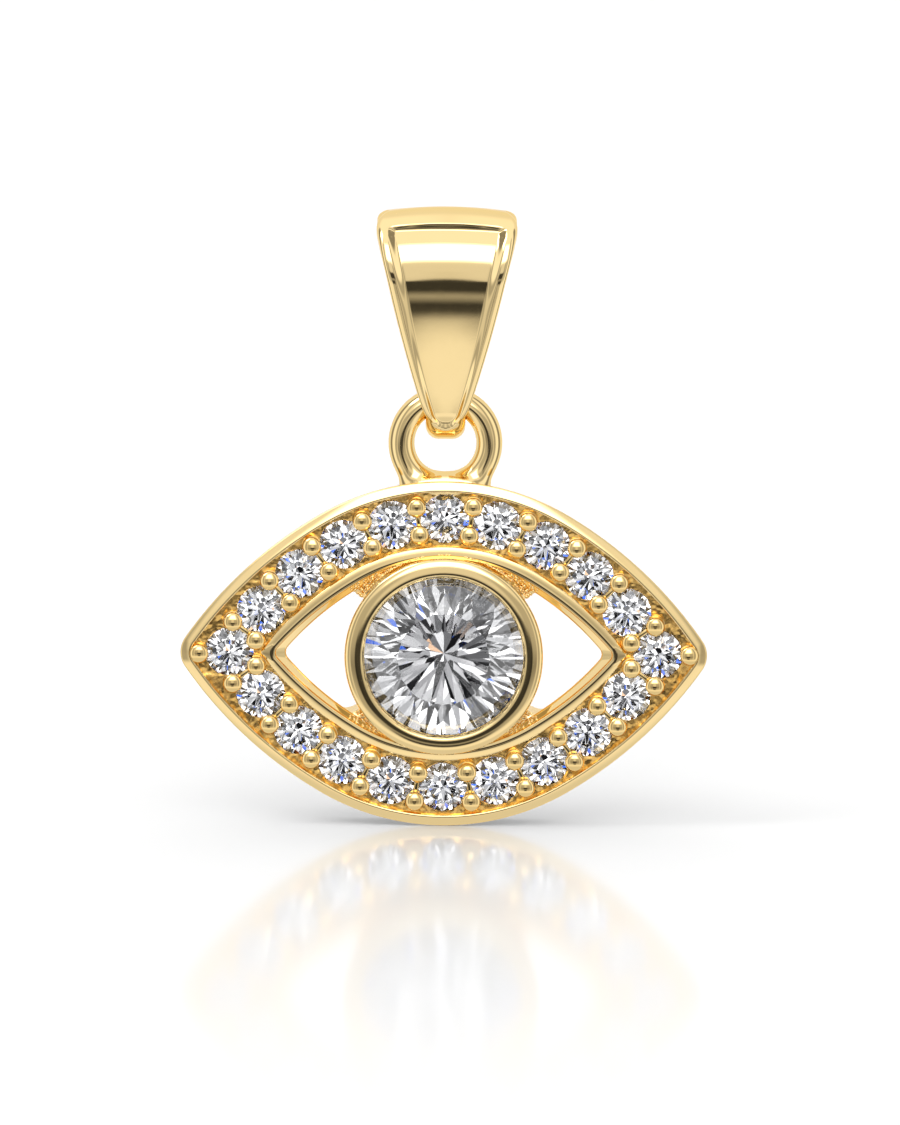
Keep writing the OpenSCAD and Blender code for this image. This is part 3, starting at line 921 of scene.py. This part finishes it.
def bail():
    """The bail as one closed band, wrapped from a flat grid of its rows."""
    rows = [bail_row(share) for share in bail_shares()]
    across = len(rows[0])
    bm = bmesh.new()
    bmesh.ops.create_grid(bm, x_segments=across, y_segments=len(rows) - 1, size=1)
    for vert in bm.verts:
        i = round((vert.co.x + 1) / 2 * across) % across
        j = round((vert.co.y + 1) / 2 * (len(rows) - 1))
        vert.co = rows[j][i]
    close_up(bm)
    bm.transform(Matrix.Scale(MM, 4))
    settle(new_object(bm, "bail_leaf", BAIL_GOLD), "bail", "bail", angle=45)


# Solder and grains between the bezel and the inner rim


def opening_reach(angle, out):
    """How far from the middle the opening's edge lies, moved out, at an angle from the top."""
    points = quarter(OPENING_LENS, -out)
    turns = [math.atan2(point.x, point.y) for point in points]
    k = max(i for i, turn in enumerate(turns[:-1]) if turn <= angle or i == 0)
    share = (angle - turns[k]) / (turns[k + 1] - turns[k])
    return points[k].lerp(points[k + 1], share).length


def four_corners(bm):
    """The piece made for the upper right corner, repeated in all four."""
    one = bm.copy()
    for sides in ((-1, 1), (1, -1), (-1, -1)):
        before = len(bm.verts)
        mesh = bpy.data.meshes.new("corner_copy")
        one.to_mesh(mesh)
        bm.from_mesh(mesh)
        bpy.data.meshes.remove(mesh)
        bm.verts.ensure_lookup_table()
        bmesh.ops.transform(bm, matrix=Matrix.Diagonal((*sides, 1, 1)), verts=bm.verts[before:])
    one.free()
    bmesh.ops.recalc_face_normals(bm, faces=bm.faces)


def solder_corners():
    """Solder between the bezel and the frame, which rounds the sharp corners of the openings."""
    bm = bmesh.new()
    grid = []
    for j in range(SOLDER_COLUMNS + 1):
        t = 2 * j / SOLDER_COLUMNS - 1
        last = CORNER_END - CORNER_HOLLOW * math.sqrt(1 - t * t)
        line = []
        for i in range(SOLDER_ROWS + 1):
            angle = last * i / SOLDER_ROWS
            low = BEZEL_BACK_R - BEZEL_TUCK
            high = max(opening_reach(angle, DRAFT + WALL_TUCK), BEZEL_R + BEZEL_REACH)
            radius = low + (high - low) * (t + 1) / 2
            near_end = max(0, i - SOLDER_ROWS + END_ROWS) / END_ROWS
            sag = CORNER_SAG * (1 - t * t) + END_SAG * near_end ** 2
            height = INNER_FRONT - CORNER_DROP - sag
            line.append(bm.verts.new((radius * math.sin(angle), radius * math.cos(angle), height)))
        grid.append(line)
    for here, there in zip(grid, grid[1:]):
        for i in range(SOLDER_ROWS):
            bm.faces.new((here[i], here[i + 1], there[i + 1], there[i]))
    skirt = bmesh.ops.extrude_face_region(bm, geom=list(bm.faces))["geom"]
    for item in skirt:
        if isinstance(item, bmesh.types.BMVert):
            item.co.z = -FRONT + SOLDER_BACK
    four_corners(bm)
    bm.transform(STAND_UP)
    settle(new_object(bm, "solder_corners", CAST_GOLD), "eye", "eye_frame", angle=50)


def seam_grains():
    """Grains of cast metal on the solder, and a fine row of them along the bezel's outside."""
    draw = random.Random(7)
    bm = bmesh.new()

    def grain(angle, radius, height, size, length):
        turn = -angle + draw.uniform(-GRAIN_TURN, GRAIN_TURN)
        place = (
            Matrix.Translation((radius * math.sin(angle), radius * math.cos(angle), height))
            @ Matrix.Rotation(turn, 4, "Z")
            @ Matrix.Diagonal((length, size, size * GRAIN_FLATNESS, 1))
        )
        bmesh.ops.create_icosphere(bm, subdivisions=2, radius=1, matrix=place)

    for _ in range(GRAIN_COUNT):
        angle = draw.uniform(GRAIN_START, CORNER_END - CORNER_HOLLOW)
        low, high = BEZEL_R + BEZEL_TUCK, opening_reach(angle, GRAIN_WALL)
        share = draw.random()
        radius = low + (high - low) * share
        height = INNER_FRONT - CORNER_DROP + share * GRAIN_RISE
        size = draw.uniform(*GRAIN_SIZES)
        grain(angle, radius, height, size, size * draw.uniform(*GRAIN_STRETCH))
    for _ in range(SEAM_COUNT):
        angle = draw.uniform(SEAM_START, CORNER_END - CORNER_HOLLOW)
        size = draw.uniform(*SEAM_SIZES)
        height = INNER_FRONT + draw.uniform(*SEAM_HEIGHTS)
        grain(angle, BEZEL_R + SEAM_OUT, height, size, size * draw.uniform(*SEAM_STRETCH))
    four_corners(bm)
    bm.transform(STAND_UP)
    settle(new_object(bm, "seam_grains", CAST_GOLD), "eye", "eye_frame", angle=60)


# The floor, the light and the camera


def floor():
    """Pale floor just below the eye, whose faint mirror fades out towards the front."""
    bm = bmesh.new()
    bmesh.ops.create_circle(bm, cap_ends=True, segments=96, radius=FLOOR_R)
    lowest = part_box("eye_frame")[0].z - FLOOR_GAP * MM
    bm.transform(Matrix.Translation((0, 0, lowest)))
    material, nodes, links, where = new_material("pale_floor", plain=True)
    split = nodes.new("ShaderNodeSeparateXYZ")
    links.new(where, split.inputs["Vector"])
    fade = nodes.new("ShaderNodeMapRange")
    fade.interpolation_type = "SMOOTHSTEP"
    fade.inputs["From Min"].default_value = -MIRROR_REACH
    fade.inputs["From Max"].default_value = 0.0
    fade.inputs["To Min"].default_value = 0.0
    fade.inputs["To Max"].default_value = MIRROR_SHARE
    links.new(split.outputs["Y"], fade.inputs["Value"])
    paint = nodes.new("ShaderNodeBsdfDiffuse")
    paint.inputs["Color"].default_value = (FLOOR_TONE, FLOOR_TONE, FLOOR_TONE, 1)
    gloss = nodes.new("ShaderNodeBsdfAnisotropic")
    gloss.inputs["Color"].default_value = (1, 1, 1, 1)
    gloss.inputs["Roughness"].default_value = MIRROR_ROUGHNESS
    mix = nodes.new("ShaderNodeMixShader")
    links.new(fade.outputs["Result"], mix.inputs["Fac"])
    links.new(paint.outputs["BSDF"], mix.inputs[1])
    links.new(gloss.outputs["BSDF"], mix.inputs[2])
    links.new(mix.outputs["Shader"], nodes["Material Output"].inputs["Surface"])
    ground = new_object(bm, "floor", material)
    ground.visible_glossy = False
    ground.visible_transmission = False


# Each panel of light or dark in the studio: lowest and highest elevation, left and right edge in
# degrees from the front, width of its soft edge, and how many times brighter it makes the room.
STUDIO = {
    "key_panel": (19, 54, -24, 24, 5, 3.4),
    "window": (42, 70, -88, -50, 4, 4.5),
    "overhead": (54, 91, -181, 181, 8, 1.2),
    "horizon_card": (-7, 14, -50, 50, 6, 0.88),
    "stand_shade": (-25, -8, -31, 31, 3, 0.62),
    "floor_shade": (-91, -42, -181, 181, 6, 0.76),
    "left_stand": (-14, 13, -34, -9, 4, 0.62),
    "right_stand": (-14, 13, 9, 34, 4, 0.62),
    "low_shade": (-27, -4, -45, 45, 4, 0.8),
    "left_frame": (-25, 60, -58, -42, 5, 0.5),
    "right_frame": (-25, 60, 42, 58, 5, 0.5),
    "camera_upper": (-17, -5.5, -13, 13, 2, 0.1),
    "camera_middle": (-20, -17, -9, 9, 1.5, 0.95),
    "camera_lower": (-28, -20, -9, 9, 3, 0.1),
    "left_gap": (-50, 60, -112, -88, 6, 0.3),
    "right_gap": (-50, 60, 88, 112, 6, 0.3),
    "left_panel": (-30, 50, -84, -62, 6, 1.2),
    "right_panel": (-30, 50, 62, 84, 6, 1.2),
    "table_top": (-91, -30, -181, 181, 5, 1.1),
}
ROOM_LIGHT = 0.97
BACKDROP = 0.97

# Small panels that sparkle in the stones: how fine they are, and the shares of their tones
SPARKLE_SCALE = 5.6
SPARKLE_TONES = (
    (0.0, (0.004, 0.004, 0.006)),
    (0.26, (0.03, 0.03, 0.035)),
    (0.34, (0.14, 0.14, 0.15)),
    (0.41, (0.4, 0.405, 0.425)),
    (0.49, (0.8, 0.808, 0.835)),
    (0.585, (1.25, 1.26, 1.3)),
    (0.71, (2.1, 2.11, 2.16)),
    (0.85, (4.2, 4.2, 4.25)),
    (0.97, (0.12, 0.45, 2.2)),
    (0.992, (2.0, 1.3, 0.85)),
)

# How squarely a small panel stands in front where its dimming starts and ends, and what is left
VIEWER_SHADE = (0.8, 0.95, 0.65)


def studio_light():
    """Soft room of light and dark panels, seen by the metal, with small panels for the stones."""
    world = bpy.data.worlds.new("studio")
    bpy.context.scene.world = world
    world.use_nodes = True
    nodes, links = world.node_tree.nodes, world.node_tree.links
    # So even a room is found by scattered rays alone, and many times quicker
    world.cycles.sampling_method = "NONE"

    def math_node(operation, *inputs):
        node = nodes.new("ShaderNodeMath")
        node.operation = operation
        for socket, value in zip(node.inputs, inputs):
            if isinstance(value, (int, float)):
                socket.default_value = value
            else:
                links.new(value, socket)
        return node.outputs["Value"]

    def step(value, edge, blur):
        node = nodes.new("ShaderNodeMapRange")
        node.interpolation_type = "SMOOTHSTEP"
        node.inputs["From Min"].default_value = edge - blur
        node.inputs["From Max"].default_value = edge + blur
        links.new(value, node.inputs["Value"])
        return node.outputs["Result"]

    def inside(value, low, high, blur):
        return math_node("SUBTRACT", step(value, low, blur), step(value, high, blur))

    direction = nodes.new("ShaderNodeTexCoord").outputs["Generated"]
    split = nodes.new("ShaderNodeSeparateXYZ")
    links.new(direction, split.inputs["Vector"])
    front = math_node("MULTIPLY", split.outputs["Y"], -1.0)
    azimuth = math_node("DEGREES", math_node("ARCTAN2", split.outputs["X"], front))
    elevation = math_node("DEGREES", math_node("ARCSINE", split.outputs["Z"]))
    total = None
    for low, high, left, right, blur, times in STUDIO.values():
        mask = math_node(
            "MULTIPLY", inside(elevation, low, high, blur), inside(azimuth, left, right, blur)
        )
        factor = math_node("ADD", math_node("MULTIPLY", mask, times - 1), 1.0)
        total = factor if total is None else math_node("MULTIPLY", total, factor)
    room = math_node("MULTIPLY", total, ROOM_LIGHT)

    def blend(factor, here, there, kind="MIX"):
        node = nodes.new("ShaderNodeMix")
        node.data_type = "RGBA"
        node.blend_type = kind
        for name, value in (("Factor", factor), ("A", here), ("B", there)):
            if isinstance(value, (float, tuple)):
                node.inputs[name].default_value = value
            else:
                links.new(value, node.inputs[name])
        return node.outputs["Result"]

    cells = nodes.new("ShaderNodeTexVoronoi")
    cells.inputs["Scale"].default_value = SPARKLE_SCALE
    links.new(direction, cells.inputs["Vector"])
    draw = nodes.new("ShaderNodeSeparateColor")
    links.new(cells.outputs["Color"], draw.inputs["Color"])
    tones = nodes.new("ShaderNodeValToRGB")
    tones.color_ramp.interpolation = "CONSTANT"
    ramp = tones.color_ramp.elements
    for place, (start, tone) in enumerate(SPARKLE_TONES):
        element = ramp[place] if place < 2 else ramp.new(start)
        element.position = start
        element.color = (*tone, 1)
    links.new(draw.outputs["Red"], tones.inputs["Fac"])
    start, end, left_over = VIEWER_SHADE
    shade = nodes.new("ShaderNodeMapRange")
    shade.interpolation_type = "SMOOTHSTEP"
    shade.inputs["From Min"].default_value = start
    shade.inputs["From Max"].default_value = end
    shade.inputs["To Min"].default_value = 1.0
    shade.inputs["To Max"].default_value = left_over
    links.new(front, shade.inputs["Value"])
    sparkle = blend(1.0, tones.outputs["Color"], shade.outputs["Result"], "MULTIPLY")
    path = nodes.new("ShaderNodeLightPath")
    light = blend(path.outputs["Is Transmission Ray"], room, sparkle)
    light = blend(path.outputs["Is Camera Ray"], light, (BACKDROP, BACKDROP, BACKDROP, 1))
    links.new(light, nodes["Background"].inputs["Color"])


def camera():
    lens_data = bpy.data.cameras.new("camera")
    seen_height = PICTURE_H / PIXELS_PER_MM
    lens_data.lens = lens_data.sensor_width * CAMERA_DISTANCE / seen_height
    lens_data.clip_start = CAMERA_DISTANCE * MM / 10
    lens_data.clip_end = 10.0
    eye = bpy.data.objects.new("camera", lens_data)
    bpy.context.scene.collection.objects.link(eye)
    back = Vector((0, -math.cos(CAMERA_ELEVATION), math.sin(CAMERA_ELEVATION)))
    eye.location = (AIM + back * CAMERA_DISTANCE) * MM
    turn = (-back).to_track_quat("-Z", "Y").to_matrix().to_4x4()
    roll = Matrix.Rotation(CAMERA_ROLL, 4, "Z")
    eye.matrix_world = Matrix.Translation(eye.location) @ turn @ roll
    bpy.context.scene.camera = eye


def picture_settings():
    scene = bpy.context.scene
    scene.view_settings.view_transform = "Standard"
    scene.cycles.max_bounces = 12
    scene.cycles.transmission_bounces = 10
    scene.cycles.glossy_bounces = 5
    scene.cycles.diffuse_bounces = 2
    scene.cycles.caustics_refractive = False
    scene.cycles.caustics_reflective = False
    scene.cycles.use_denoising = True


outer_rim()
inner_rim()
channel_plate()
prongs()
bezel()
loop()
solder_corners()
seam_grains()
bail()
for name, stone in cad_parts.items():
    if "stone" in name:
        stone.data.materials.clear()
        stone.data.materials.append(CENTER_STONE if name == "center_stone" else ACCENT_STONE)
floor()
studio_light()
camera()
picture_settings()
